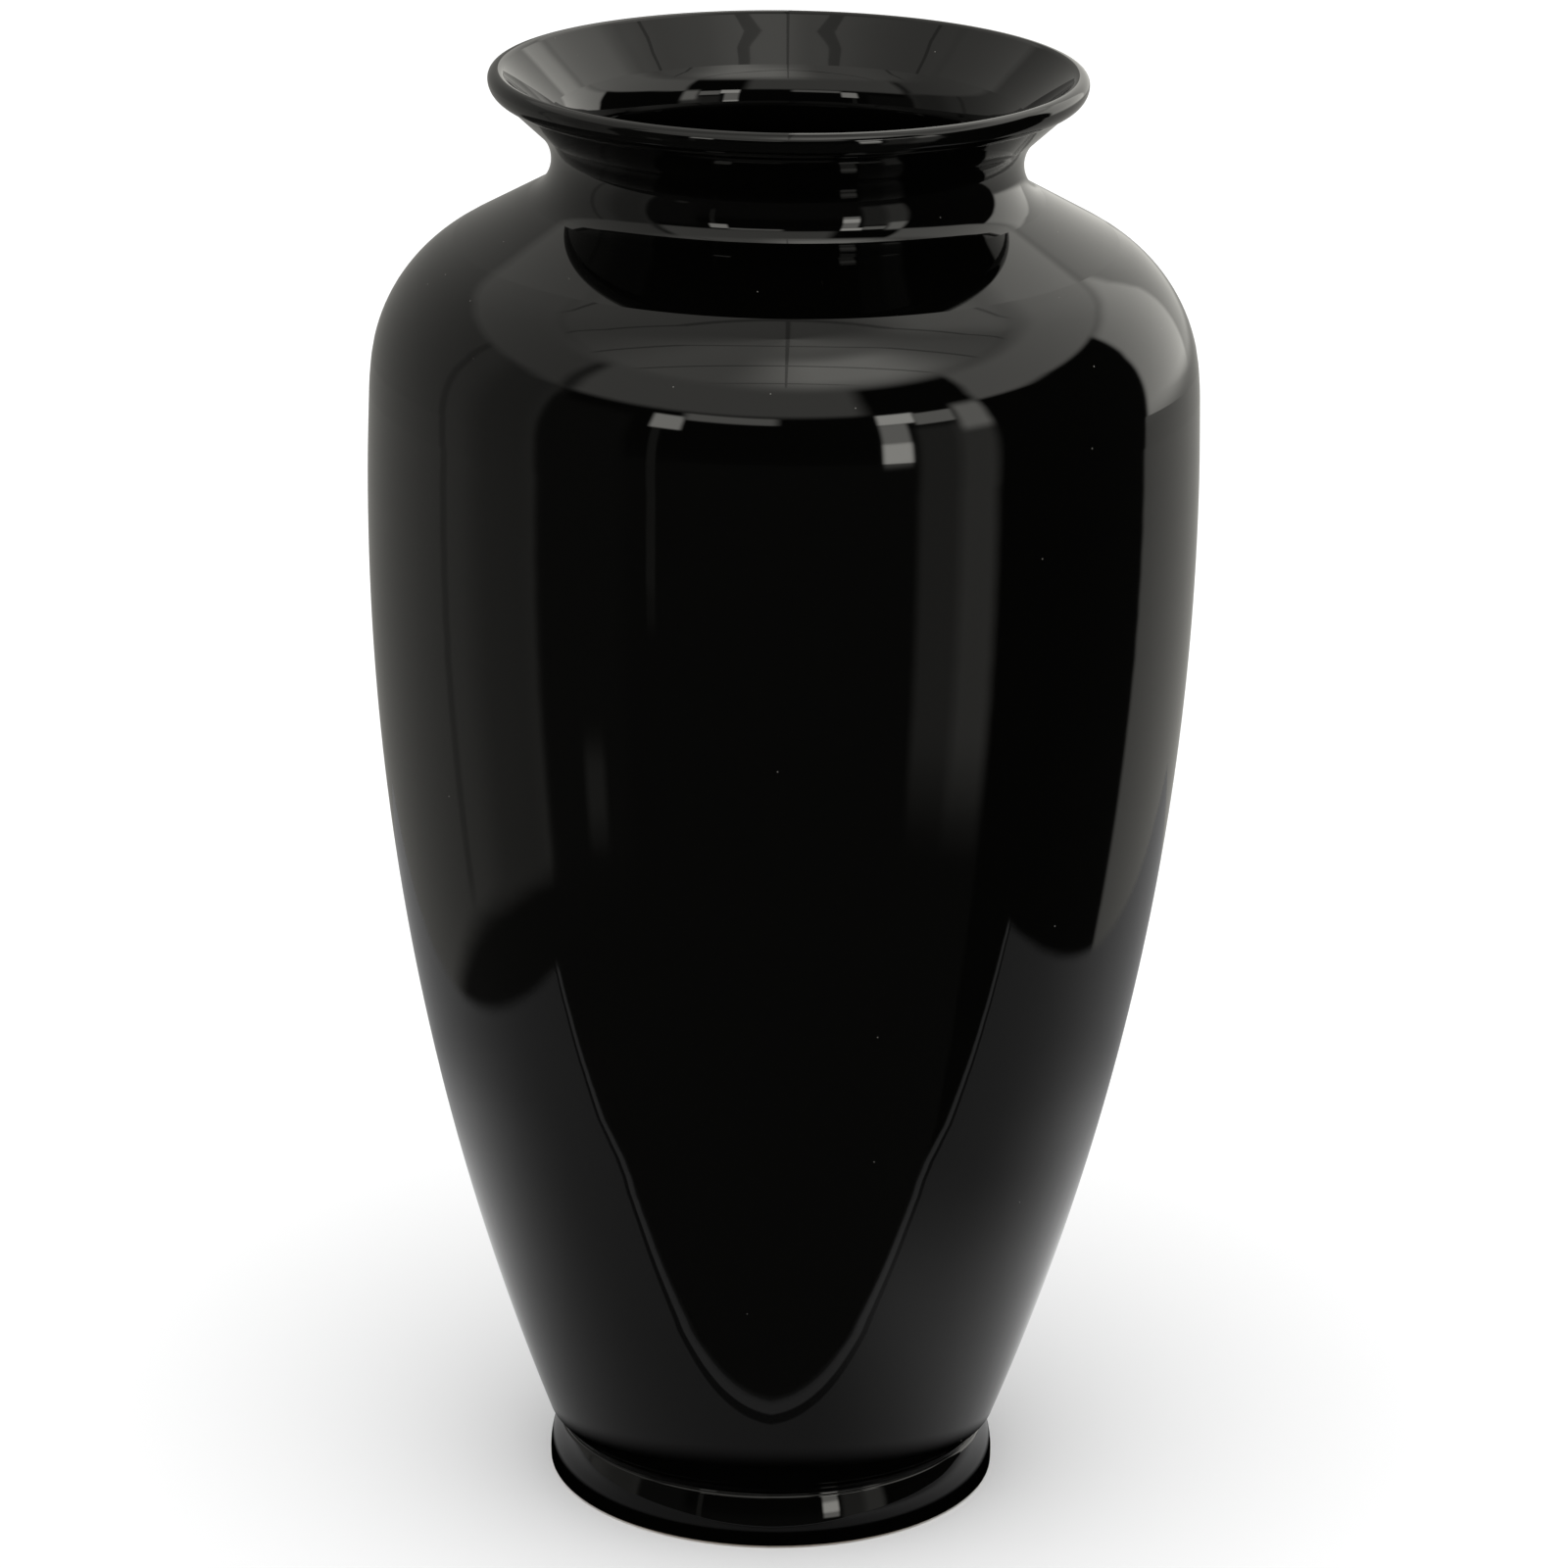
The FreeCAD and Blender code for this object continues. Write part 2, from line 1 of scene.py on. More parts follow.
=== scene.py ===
"""Tall black glazed baluster jar on a pale floor, in soft studio light."""
import math
import bpy
from mathutils import Matrix, Vector


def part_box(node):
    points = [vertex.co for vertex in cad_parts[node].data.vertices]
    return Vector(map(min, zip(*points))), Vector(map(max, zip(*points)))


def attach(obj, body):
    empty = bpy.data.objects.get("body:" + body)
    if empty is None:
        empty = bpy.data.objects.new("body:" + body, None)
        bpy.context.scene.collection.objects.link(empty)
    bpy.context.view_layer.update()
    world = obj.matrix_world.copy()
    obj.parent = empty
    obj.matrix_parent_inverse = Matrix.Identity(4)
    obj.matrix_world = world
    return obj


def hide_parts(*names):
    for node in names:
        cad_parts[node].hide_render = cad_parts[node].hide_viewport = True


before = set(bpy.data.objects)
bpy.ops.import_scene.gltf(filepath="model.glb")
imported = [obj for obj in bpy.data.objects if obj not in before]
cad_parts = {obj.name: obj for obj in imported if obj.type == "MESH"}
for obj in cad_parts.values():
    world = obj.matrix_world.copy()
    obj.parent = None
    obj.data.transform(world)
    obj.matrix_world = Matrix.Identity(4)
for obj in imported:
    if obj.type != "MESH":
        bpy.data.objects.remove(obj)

bl_info = {
    "name": "Black glazed baluster jar",
    "version": (1, 0, 0),
    "blender": (4, 5, 0),
    "location": "3D View > Sidebar > Jar",
    "description": "Turns the jar's glaze and foot ring finely, sets its materials, floor, room and camera",
    "category": "Object",
}

CLAY_PIECES = ("lower_body", "belly_section", "shoulder_section", "neck_collar", "lip_coil")
SLIP_PIECES = ("foot_slip", "lower_slip", "upper_slip", "neck_slip", "lip_slip")
BLACK = (0.0, 0.0, 0.0, 1.0)
WHITE = (1.0, 1.0, 1.0, 1.0)

# Turning the glaze and the foot ring from the frame's sections
NEAR = 1e-6  # two points of the frame's meshes this close, in metres, are one point
POINT_DIGITS = 7  # digits of a metre that tell two points of a section apart
ROW_DIGITS = 8  # digits of a metre that tell two rings of points apart
BAND_DEPTH = 1.6  # how deep the band's roundness reaches into the foot, in band insets

# Glaze
GLAZE_IOR = 1.5
LINER_TINT = 1.5  # brightness of the liner glaze's colour against the outer glaze's
FOOT_WELL_TINT = 2.5  # brightness of the foot well glaze's colour against the outer glaze's
SMEAR_SCALE = 18.0  # smears per metre
SMEARED = (0.5, 0.75)  # noise at which a smear starts and is full
SPECK_CORE_SHARE = 0.6  # share of a speck's radius within which it is full
SPECK_HEIGHT_SHARE = 0.2  # a speck's height as a share of its radius
SPECK_ROUGHNESS = 0.3  # roughness that a speck adds
CLEAN_SHARE = 0.93  # share of the places for a speck that stay empty on the body
DUSTY_SHARE = 0.55  # share of the places that dust fills as well, high on the jar
DUST_START_SHARE = 0.9  # share of the dust height where dust starts

# Fired clay and slip
PATCH_SCALE = 45.0  # dark patches per metre
PATCHED = (0.35, 0.75)  # noise at which a patch starts and is full
PATCH_STAIN = 0.5  # how much of the stain a patch takes
GRAINED = (0.5, 0.7)  # noise at which a grain starts and is full
GRAIN_STAIN = 0.25  # how much of the stain a grain takes
CLAY_ROUGHNESS = 0.75
PATCH_ROUGHNESS = 0.2  # roughness that the patches' noise adds at most

# The mirrored table: distances in metres, shares, and brightness of the light and shade painted into its
# colour
SIDE_SOFT = 0.02  # softness of its left and right edges
END_SOFT = 0.003  # half the softness of its front and back edges
SHADOW_SOFT = 0.004  # half the softness of the deep shadow's edge
LINE_SOFT = 0.001  # softness of the lines along its front
# Painted highlight and painted shade: a lighter line along the mirrored table's front edge and a dark line
# behind it
GROOVE_END_SHARE = 1.7  # where the dark line behind the pale edge ends, in widths of that edge
BEHIND_SHARE = 1.5  # how far behind the axis it is full bright, as a share of its front's distance
FAR_OUT = (0.14, 0.36)  # distances from the axis over which it dims toward the back
# Painted light: a glow from the right raises the mirrored table's colour
GLOW_ASIDE = (0.02, 0.12)  # distances to the right over which the glow from the right grows
GLOW_OUT = (0.13, 0.24)  # distances from the axis over which that glow ends
SIDE_GLOW = 0.2  # brightness that the glow from the right adds
# painted highlight along the table's front edge, and painted shade in the dark line behind it
EDGE_GLOW = 0.1  # brightness that the pale edge adds
GROOVE_SHADE = 0.12  # brightness that the dark line takes away

# Ceiling tiles, as shares of the ceiling's height over the jar
TILE_WIDTH = 0.9  # across the view
TILE_DEPTH = 0.3  # along the view
TILE_SEAM = 0.012  # width of the seams along the view
SEAM_STRETCH = 1.5  # the seams across the view are this many times as wide
TILES_AWAY = 40  # whole tiles added so that the sums stay over zero
TILE_SHIFT = 0.4  # shift along the view, in tiles
SEAMS_FROM = (50, 54)  # elevations in degrees over which the seams start
SEAM_SHADE = 0.45  # share of the light that a seam takes away

LAMP_TILT = math.radians(20)  # lean of the soft lamp toward the camera's side

# What stands round the jar in the room it mirrors, from the farthest back to the nearest.
# Azimuth 0 is toward the camera and 90 toward +X, elevation 0 is level, both in degrees.
# Each row: name, azimuths, elevations, softness of the sides and of the ends, brightness.
ROOM = (
    ("dim room below eye level", (-200, 200), (-95, 2), (1, 14), 0.035),
    ("left wall", (-200, -71), (-29, 32), (4, 2), 0.28),
    ("left wall's near end", (-94, -71), (-29, 32), (14, 2), 0.20),
    ("left wall's corner", (-108, -105), (-28, 33), (2, 2), 0.20),
    ("front left wall", (-70, -44), (-30, 25), (5, 6), 0.045),
    ("wall behind on the right", (117, 200), (-10, 32), (3, 8), 0.95),
    ("bright door on the right", (118, 150), (-6, 30), (3, 6), 1.7),
    ("low wall on the right", (117, 200), (-60, -8), (3, 6), 0.42),
    ("upper wall on the left", (-200, -72), (31, 52), (8, 4), 0.50),
    ("upper wall in front", (-68, 24), (31, 52), (8, 4), 0.75),
    ("upper wall at the side", (60, 200), (31, 52), (5, 3), 1.3),
    ("ceiling", (-200, 200), (50, 95), (4, 8), 0.52),
    ("ceiling in front", (-80, 105), (50, 95), (60, 8), 0.95),
    ("ceiling at the right back", (112, 155), (50, 72), (24, 12), 1.1),
    ("ceiling glow", (-6, 62), (52, 72), (44, 12), 2.5),
    ("overhead glow", (-10, 80), (74, 92), (60, 12), 1.3),
    ("black panel", (61, 116), (-46, 30), (2.5, 2), 0.012),
    ("curtain in the shade", (37, 50), (-26, 20), (4, 7), 0.23),
    ("pale curtain", (49, 60), (-26, 20), (5, 7), 0.42),
    ("curtain's lit top", (51, 60), (15, 31), (4, 6), 2.0),
    ("tall window", (27, 35), (-3, 24), (2, 3), 2.1),
    ("lit window pane", (27, 35), (3, 11), (2, 3), 5.0),
    ("pale post", (-37, -34.5), (-17, 22), (1, 4), 0.12),
    ("pale stool", (-57, -51), (-28, -24), (3, 3), 0.18),
    ("high windows", (-38, -29), (18.5, 27.5), (2, 1.5), 3.2),
    ("long high window", (-29, -2), (26, 30), (4, 1.5), 1.4),
    ("high side window", (27, 38), (24, 30), (2, 1.5), 5.0),
    ("high corner window", (38, 50), (22, 29), (2, 1.5), 1.8),
)


class JarGlazeSettings(bpy.types.PropertyGroup):
    """How finely the glaze and the foot ring are turned, and how the fired glaze looks."""
    steps_round: bpy.props.IntProperty(
        name="Steps round", description="Faces round the jar's axis", default=208, min=64)
    turn_per_step: bpy.props.FloatProperty(
        name="Turn per step", description="Largest bend between two rings of faces",
        default=math.radians(3.5), subtype="ANGLE")
    step_length: bpy.props.FloatProperty(
        name="Step length", description="Largest distance between two rings of faces",
        default=0.009, unit="LENGTH")
    glaze_colour: bpy.props.FloatVectorProperty(
        name="Glaze colour", description="Body colour of the black glaze",
        default=(0.0006, 0.0006, 0.0005), subtype="COLOR")
    dust_colour: bpy.props.FloatVectorProperty(
        name="Dust colour", description="Colour of dust specks and pinholes",
        default=(0.16, 0.155, 0.14), subtype="COLOR")
    polish: bpy.props.FloatProperty(
        name="Polish roughness", description="Roughness of the clean glaze", default=0.02, subtype="FACTOR")
    smear: bpy.props.FloatProperty(
        name="Smear roughness", description="Roughness added where hands have touched the glaze",
        default=0.03, subtype="FACTOR")
    wave_height: bpy.props.FloatProperty(
        name="Wave height", description="Depth of the slow waves in the fired surface",
        default=0.00004, unit="LENGTH", precision=6)
    wave_length: bpy.props.FloatProperty(
        name="Wave length", description="Distance between the slow waves", default=0.055, unit="LENGTH")
    ring_height: bpy.props.FloatProperty(
        name="Throwing ring height", description="Depth of the rings left by throwing",
        default=0.000006, unit="LENGTH", precision=6)
    ring_pitch: bpy.props.FloatProperty(
        name="Throwing ring pitch", description="Distance between throwing rings", default=0.011,
        unit="LENGTH")
    band_top: bpy.props.FloatProperty(
        name="Band top", description="Height of the foot band's top edge", default=0.0165, unit="LENGTH")
    band_fade: bpy.props.FloatProperty(
        name="Band fade", description="Height over which the roundness ends above the band",
        default=0.003, unit="LENGTH")
    band_widest: bpy.props.FloatProperty(
        name="Band's widest height", description="Height of the foot band's widest ring",
        default=0.002, unit="LENGTH")
    band_inset: bpy.props.FloatProperty(
        name="Band inset", description="How much the foot band draws in from its widest ring to its top edge",
        default=0.0026, unit="LENGTH", precision=5)
    band_step: bpy.props.FloatProperty(
        name="Band step", description="Largest distance between two rings of faces on the foot band",
        default=0.0012, unit="LENGTH", precision=5)
    speck_pitch: bpy.props.FloatProperty(
        name="Speck pitch", description="Distance between places where a speck may sit",
        default=0.0075, unit="LENGTH")
    dust_height: bpy.props.FloatProperty(
        name="Dust height", description="Height above which the dust on the jar is thickest",
        default=0.385, unit="LENGTH")
    speck_radius: bpy.props.FloatProperty(
        name="Speck radius", description="Radius of a dust speck or pinhole", default=0.00024, unit="LENGTH")


class JarClaySettings(bpy.types.PropertyGroup):
    """How the bare clay and the fired slip look."""
    clay_colour: bpy.props.FloatVectorProperty(
        name="Clay colour", description="Colour of the bare fired clay", default=(0.48, 0.42, 0.36),
        subtype="COLOR")
    stain_colour: bpy.props.FloatVectorProperty(
        name="Stain colour", description="Colour of the darker patches in the clay",
        default=(0.27, 0.21, 0.16), subtype="COLOR")
    slip_colour: bpy.props.FloatVectorProperty(
        name="Slip colour", description="Colour of the fired slip in the seams", default=(0.42, 0.37, 0.32),
        subtype="COLOR")
    grain_size: bpy.props.FloatProperty(
        name="Grain size", description="Distance between grains of grog", default=0.0012, unit="LENGTH")
    grain_height: bpy.props.FloatProperty(
        name="Grain height", description="Height of the grains", default=0.00008, unit="LENGTH", precision=6)


class JarStageSettings(bpy.types.PropertyGroup):
    """The floor, the lamp, the mirrored room and the camera."""
    floor_size: bpy.props.FloatProperty(
        name="Floor size", description="Side of the pale floor", default=16.0, unit="LENGTH")
    floor_colour: bpy.props.FloatVectorProperty(
        name="Floor colour", description="Colour of the floor", default=(0.9, 0.9, 0.9), subtype="COLOR")
    table_front: bpy.props.FloatProperty(
        name="Table front",
        description="From the jar's axis to the table's front edge, as the jar mirrors it",
        default=0.114, unit="LENGTH")
    table_bow: bpy.props.FloatProperty(
        name="Table bow", description="How far the table's front edge bows forward on both sides",
        default=0.038, unit="LENGTH")
    bow_width: bpy.props.FloatProperty(
        name="Bow width", description="Distance to either side over which the table's front edge bows",
        default=0.18, unit="LENGTH")
    table_slant: bpy.props.FloatProperty(
        name="Table slant",
        description="How far the table's front edge runs forward per distance to the side",
        default=0.09)
    table_left: bpy.props.FloatProperty(
        name="Table left", description="From the jar's axis to the table's left edge, as the jar mirrors it",
        default=0.36, unit="LENGTH")
    table_right: bpy.props.FloatProperty(
        name="Table right",
        description="From the jar's axis to the table's right edge, as the jar mirrors it",
        default=0.42, unit="LENGTH")
    table_back: bpy.props.FloatProperty(
        name="Table back", description="From the jar's axis to the table's back edge, as the jar mirrors it",
        default=0.55, unit="LENGTH")
    # Painted shade and light: the mirrored table's colour is darker in front of the jar, brighter behind it
    # and dimmer far behind it
    table_shade: bpy.props.FloatProperty(
        name="Table shade", description="Brightness of the mirrored table at its front", default=0.17,
        subtype="FACTOR")
    # Painted shadow: a dark ring round the foot in the mirrored table's colour
    foot_shadow: bpy.props.FloatProperty(
        name="Foot shadow", description="Radius of the deep shadow round the foot, as the jar mirrors it",
        default=0.082, unit="LENGTH")
    shadow_forward: bpy.props.FloatProperty(
        name="Shadow forward", description="How far the deep shadow's middle lies in front of the jar's axis",
        default=0.009, unit="LENGTH")
    table_light: bpy.props.FloatProperty(
        name="Table light", description="Brightness of the mirrored table behind the jar", default=0.76,
        subtype="FACTOR")
    table_far: bpy.props.FloatProperty(
        name="Table far", description="Brightness of the mirrored table far behind the jar", default=0.25,
        subtype="FACTOR")
    # Painted highlight: the pale edge is a lighter line of light along the mirrored table's front
    table_edge: bpy.props.FloatProperty(
        name="Table edge", description="Width of the pale edge along the table's front", default=0.006,
        unit="LENGTH")
    lamp_level: bpy.props.FloatProperty(
        name="Lamp level", description="Strength of the soft lamp, in watts per square metre", default=1.0)
    lamp_width: bpy.props.FloatProperty(
        name="Lamp width", description="Angle the soft lamp spans, as seen from the jar",
        default=math.radians(50), subtype="ANGLE")
    room_level: bpy.props.FloatProperty(
        name="Room level", description="Brightness of the part of the room that nothing covers",
        default=0.012)
    room_tint: bpy.props.FloatVectorProperty(
        name="Room tint", description="Colour of what the jar mirrors", default=(1.0, 0.985, 0.92),
        subtype="COLOR", max=1.0, min=0.0)
    camera_back: bpy.props.FloatProperty(
        name="Camera back", description="From the jar's axis to the camera, level", default=1.8162,
        unit="LENGTH")
    camera_aside: bpy.props.FloatProperty(
        name="Camera aside", description="Camera's distance to the right of the jar's axis", default=0.0014,
        unit="LENGTH")
    camera_height: bpy.props.FloatProperty(
        name="Camera height", description="Camera above the floor", default=0.8378, unit="LENGTH")
    camera_pitch: bpy.props.FloatProperty(
        name="Camera pitch", description="How far the camera looks down", default=0.3249, subtype="ANGLE")
    camera_roll: bpy.props.FloatProperty(
        name="Camera roll", description="How far the picture is turned", default=0.0133, subtype="ANGLE")
    lens: bpy.props.FloatProperty(
        name="Lens", description="Focal length on a 36 mm sensor, in millimetres", default=142.67)


class Quantity:
    """A number in a shader: a socket that can be used in sums like a plain number."""

    def __init__(self, paint, socket):
        self.paint = paint
        self.socket = socket

    def __add__(self, other):
        return self.paint.maths("ADD", self, other)

    def __radd__(self, other):
        return self.paint.maths("ADD", other, self)

    def __sub__(self, other):
        return self.paint.maths("SUBTRACT", self, other)

    def __rsub__(self, other):
        return self.paint.maths("SUBTRACT", other, self)

    def __mul__(self, other):
        return self.paint.maths("MULTIPLY", self, other)

    def __rmul__(self, other):
        return self.paint.maths("MULTIPLY", other, self)

    def __truediv__(self, other):
        return self.paint.maths("DIVIDE", self, other)

    def __rtruediv__(self, other):
        return self.paint.maths("DIVIDE", other, self)

    def __gt__(self, other):
        return self.paint.maths("GREATER_THAN", self, other)

    def __lt__(self, other):
        return self.paint.maths("LESS_THAN", self, other)

    def rise(self, low, high):
        """0 below low and 1 above high, with a soft step between."""
        return self.paint.add(
            "ShaderNodeMapRange", {"interpolation_type": "SMOOTHSTEP"},
            {"Value": self, "From Min": low, "From Max": high})

    def within(self, low, high, soft):
        """1 between low and high and 0 outside, with soft steps."""
        half = soft / 2
        return self.rise(low - half, low + half) * (1 - self.rise(high - half, high + half))


class Paint:
    """Builds the nodes of one material or world."""

    def __init__(self, owner):
        owner.use_nodes = True
        self.nodes = owner.node_tree.nodes
        self.links = owner.node_tree.links
        self.nodes.clear()

    def add(self, kind, settings=None, sockets=None, out=0):
        """One node of this kind, with its settings and with values or quantities on its sockets."""
        node = self.nodes.new(kind)
        for name, value in (settings or {}).items():
            setattr(node, name, value)
        for name, value in (sockets or {}).items():
            if isinstance(value, Quantity):
                self.links.new(value.socket, node.inputs[name])
            else:
                node.inputs[name].default_value = value
        return Quantity(self, node.outputs[out])

    def maths(self, operation, *terms):
        """One sum of quantities or plain numbers."""
        return self.add("ShaderNodeMath", {"operation": operation}, dict(enumerate(terms)))

    def parts(self, vector):
        """The three numbers of a vector."""
        first = self.add("ShaderNodeSeparateXYZ", {}, {"Vector": vector})
        return [Quantity(self, socket) for socket in first.socket.node.outputs]

    def in_mirror(self):
        """1 for what a mirror ray meets and 0 for what the camera and the light meet."""
        path = self.add("ShaderNodeLightPath")
        return Quantity(self, path.socket.node.outputs["Is Glossy Ray"])

    def between(self, amount, low, high):
        """A colour from low to high."""
        return self.add(
            "ShaderNodeMix", {"data_type": "RGBA", "clamp_factor": False},
            {"Factor": amount, 6: low, 7: high}, out=2)

    def finish(self, shader, target="ShaderNodeOutputMaterial"):
        """Joins the shader to the output."""
        self.links.new(shader.socket, self.nodes.new(target).inputs["Surface"])


def opaque(colour):
    """A colour with its fourth number."""
    return (*colour, 1.0)


def new_material(name):
    """An empty material with this name, and the brush for it."""
    material = bpy.data.materials.new(name)
    return material, Paint(material)


def coat(mesh, material):
    """Gives the mesh this one material."""
    mesh.materials.clear()
    mesh.materials.append(material)


def glaze_specks(paint, look, place):
    """1 on a speck of dust or a pinhole and 0 elsewhere: few on the body, more high on the jar."""
    height = paint.parts(place)[2]
    cell = paint.add(
        "ShaderNodeTexVoronoi", {}, {"Vector": place, "Scale": 1 / look.speck_pitch, "Randomness": 1.0})
    chance = paint.parts(Quantity(paint, cell.socket.node.outputs["Color"]))[0]
    size = look.speck_radius / look.speck_pitch
    dusty = height.rise(look.dust_height * DUST_START_SHARE, look.dust_height)
    return (1 - cell.rise(size * SPECK_CORE_SHARE, size)) * (chance > CLEAN_SHARE - DUSTY_SHARE * dusty)


def glaze_material(name, look, tint):
    """Mirror-black glaze with slow waves, throwing rings, faint smears and a few specks."""
    material, paint = new_material(name)
    place = paint.add("ShaderNodeTexCoord", out=3)
    height = paint.parts(place)[2]
    waves = paint.add(
        "ShaderNodeTexNoise", {}, {"Vector": place, "Scale": 1 / look.wave_length, "Detail": 1.0})
    rings = paint.add(
        "ShaderNodeTexNoise", {"noise_dimensions": "1D"},
        {"W": height / look.ring_pitch, "Scale": 1.0, "Detail": 1.0})
    smears = paint.add("ShaderNodeTexNoise", {}, {"Vector": place, "Scale": SMEAR_SCALE, "Detail": 4.0})
    speck = glaze_specks(paint, look, place)
    speck_height = look.speck_radius * SPECK_HEIGHT_SHARE
    surface = waves * look.wave_height + rings * look.ring_height + speck * speck_height
    bump = paint.add("ShaderNodeBump", {}, {"Strength": 1.0, "Distance": 1.0, "Height": surface})
    body = [value * tint for value in look.glaze_colour]
    paint.finish(paint.add("ShaderNodeBsdfPrincipled", {}, {
        "Base Color": paint.between(speck, opaque(body), opaque(look.dust_colour)),
        "Roughness": look.polish + look.smear * smears.rise(*SMEARED) + speck * SPECK_ROUGHNESS,
        "IOR": GLAZE_IOR,
        "Normal": bump,
    }))
    return material


def clay_material(name, look, colour):
    """Matt fired clay with darker patches and fine grog."""
    material, paint = new_material(name)
    place = paint.add("ShaderNodeTexCoord", out=3)
    patches = paint.add("ShaderNodeTexNoise", {}, {"Vector": place, "Scale": PATCH_SCALE, "Detail": 6.0})
    grain = paint.add(
        "ShaderNodeTexNoise", {}, {"Vector": place, "Scale": 1 / look.grain_size, "Detail": 3.0})
    stain = patches.rise(*PATCHED) * PATCH_STAIN + grain.rise(*GRAINED) * GRAIN_STAIN
    bump = paint.add(
        "ShaderNodeBump", {}, {"Strength": 1.0, "Distance": 1.0, "Height": grain * look.grain_height})
    paint.finish(paint.add("ShaderNodeBsdfPrincipled", {}, {
        "Base Color": paint.between(stain, opaque(colour), opaque(look.stain_colour)),
        "Roughness": CLAY_ROUGHNESS + PATCH_ROUGHNESS * patches,
        "Normal": bump,
    }))
    return material


def flat_point(place):
    """A mesh point as a point of the section: its x and z."""
    return (max(0.0, round(place.x, POINT_DIGITS)), round(place.z, POINT_DIGITS))


def section_edges(mesh):
    """The mesh's edges where y is 0 and x positive, with the surface's direction at both ends."""
    normals = mesh.corner_normals
    edges = {}
    for face in mesh.polygons:
        corners = list(face.loop_indices)
        for a, b in zip(corners, corners[1:] + corners[:1]):
            start, end = (mesh.vertices[mesh.loops[corner].vertex_index].co for corner in (a, b))
            off_plane = max(abs(start.y), abs(end.y)) > NEAR
            behind = min(start.x, end.x) < -NEAR or max(start.x, end.x) < NEAR
            p, q = flat_point(start), flat_point(end)
            if off_plane or behind or p == q:
                continue
            m, n = (Vector((normals[corner].vector.x, normals[corner].vector.z)) for corner in (a, b))
            edges.setdefault(p, {})[q] = (m, n)
            edges.setdefault(q, {})[p] = (n, m)
    return edges


def close_flat_faces(edges):
    """Joins the two ends of each flat face straight, because it has no edge in the section."""
    loose = [p for p in edges if len(edges[p]) == 1 and p[0] > NEAR]
    while loose:
        p = loose.pop()
        q = min(loose, key=lambda other: math.dist(p, other))
        loose.remove(q)
        edges[p][q] = edges[q][p] = None


def points_in_order(edges):
    """The section's points in order, with the solid on the left. A ring ends at its first point."""
    poles = [p for p in edges if p[0] <= NEAR]
    start = min(poles or edges, key=lambda p: p[1])
    order = [start]
    while True:
        here = order[-1]
        ahead = [p for p in edges[here] if len(order) < 2 or p != order[-2]]
        if not ahead or ahead[0] == start:
            break
        order.append(ahead[0])
    ring = order if poles else order + [start]
    area = sum(p[0] * q[1] - q[0] * p[1] for p, q in zip(ring, ring[1:] + ring[:1]))
    if area < 0:
        ring.reverse()
    return ring


def section(node):
    """The CAD node's own outline: legs of two points, with the surface's direction at both ends."""
    edges = section_edges(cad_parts[node].data)
    close_flat_faces(edges)
    ring = points_in_order(edges)
    outline = []
    for p, q in zip(ring, ring[1:]):
        along = Vector((q[0] - p[0], q[1] - p[1])).normalized()
        straight = Vector((along.y, -along.x))
        m, n = edges[p][q] or (straight, straight)
        outline.append((Vector(p), Vector(q), m.normalized(), n.normalized()))
    return outline


def rounder_band(place, foot, look):
    """The point of a section, drawn in where it is on the face of the foot band."""
    above = (place.y - look.band_top) / look.band_fade
    inward = (foot - place.x) / (look.band_inset * BAND_DEPTH)
    if above > 1 or inward > 1:
        return place.copy()
    share = 1 - max(0.0, inward)
    fade = 1 - max(0.0, above)
    rise = (place.y - look.band_widest) / (look.band_top - look.band_widest)
    return Vector((place.x - look.band_inset * rise**2 * share**2 * (3 - 2 * share) * fade, place.y))


def fine_rows(node, look):
    """The node's section in fine steps.

    Each row: a point, the surface's direction there, and whether faces join it to the row before."""
    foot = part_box("foot_ring")[1].x
    rows = []
    for p, q, m, n in section(node):
        chord = (q - p).length
        on_band = max(p.y, q.y) < look.band_top + look.band_fade
        length = look.band_step if on_band else look.step_length
        steps = max(1, math.ceil(m.angle(n, 0.0) / look.turn_per_step), math.ceil(chord / length))
        leave = Vector((-m.y, m.x)) * chord
        arrive = Vector((-n.y, n.x)) * chord
        for step in range(steps + 1):
            t = step / steps
            place = (
                p * (2 * t**3 - 3 * t**2 + 1) + leave * (t**3 - 2 * t**2 + t)
                + q * (3 * t**2 - 2 * t**3) + arrive * (t**3 - t**2))
            out = m.lerp(n, t).normalized()
            drawn = rounder_band(place, foot, look)
            ahead = rounder_band(place + Vector((-out.y, out.x)) * NEAR, foot, look) - drawn
            rows.append((drawn, Vector((ahead.y, -ahead.x)).normalized(), step > 0))
    return rows


def ring_points(rows, turns, low, high):
    """All points of the rows turned round +Z inside the box, and for each row its points' numbers."""
    widest = max(place.x for place, _, _ in rows)
    fit = min(1.0, min(high.x, high.y, -low.x, -low.y) / widest)
    points, rings, known = [], [], {}
    for place, _, _ in rows:
        key = (round(place.x, ROW_DIGITS), round(place.y, ROW_DIGITS))
        if key not in known:
            z = min(max(place.y, low.z), high.z)
            first = len(points)
            if place.x <= NEAR:
                points.append((0.0, 0.0, z))
                known[key] = [first] * len(turns)
            else:
                radius = place.x * fit
                points += [(radius * c, radius * s, z) for c, s in turns]
                known[key] = list(range(first, first + len(turns)))
        rings.append(known[key])
    return points, rings


def ring_faces(rows, rings, turns):
    """The faces between joined rows, and the surface's direction at each of their corners."""
    faces, directions = [], []
    for row in range(1, len(rows)):
        if not rows[row][2]:
            continue
        below, above = rings[row - 1], rings[row]
        for i in range(len(turns)):
            j = (i + 1) % len(turns)
            face = [(below[i], 0, i), (below[j], 0, j), (above[j], 1, j), (above[i], 1, i)]
            kept = [corner for k, corner in enumerate(face) if corner[0] != face[k - 1][0]]
            if len(kept) < 3:
                continue
            faces.append([corner[0] for corner in kept])
            for _, upper, turn in kept:
                out = rows[row - 1 + upper][1]
                directions.append((out.x * turns[turn][0], out.x * turns[turn][1], out.y))
    return faces, directions


